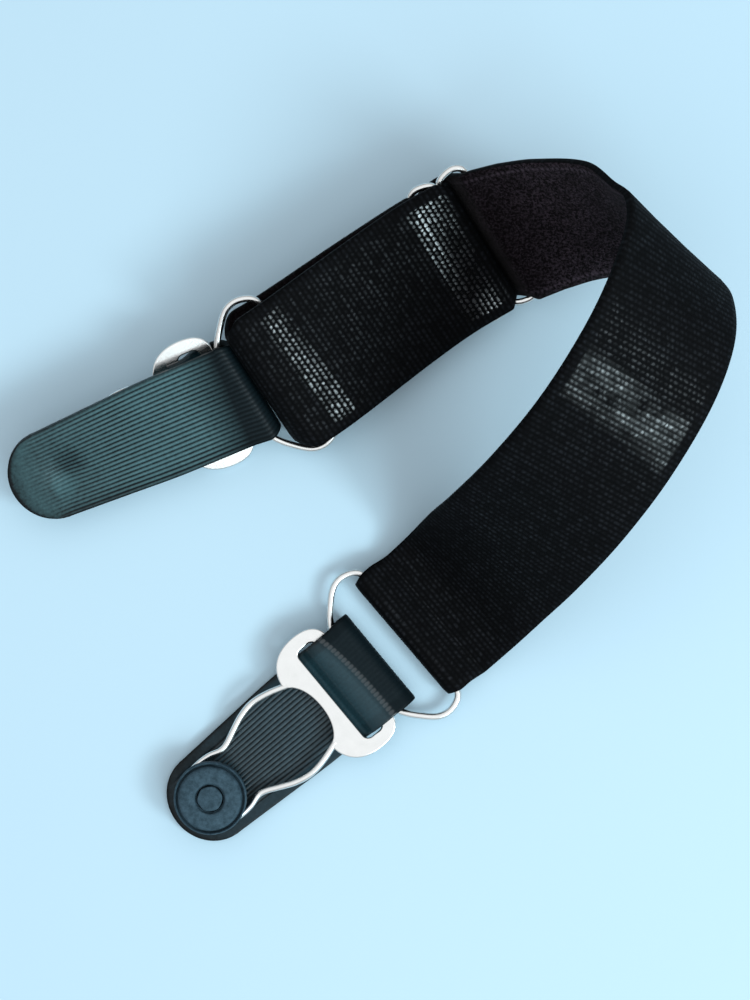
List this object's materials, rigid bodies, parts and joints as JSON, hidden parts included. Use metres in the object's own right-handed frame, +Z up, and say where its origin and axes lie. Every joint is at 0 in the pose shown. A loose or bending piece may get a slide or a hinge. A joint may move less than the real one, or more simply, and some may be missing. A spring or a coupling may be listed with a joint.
{
  "type": "sock suspender",
  "caption": "Black elastic sock suspender with a wire slider, two wire rings and two rubber grip clips, lying loose with the strap arched and turned over",
  "frame": {"origin": "Middle of the outline seen from above, on the surface that the suspender lies on", "axes": "+Z up from that surface; +X to the right and +Y away from the viewer, as the picture is framed"},
  "size_m": [0.1379, 0.132, 0.0519],
  "materials": {
    "elastic": "ribbed woven elastic, soft brushed reverse",
    "rubber": "ribbed lengthwise, satin",
    "hard_rubber": "smooth, matte",
    "nickel": "bright nickel plating"
  },
  "bodies": {
    "root": {"elastic_strap": "elastic", "slider": "nickel", "upper_ring": "nickel", "lower_ring": "nickel", "upper_tab": "rubber", "lower_tab": "rubber", "upper_button": "hard_rubber", "lower_button": "hard_rubber", "upper_frame": "nickel", "lower_frame": "nickel"}
  },
  "joints": []
}
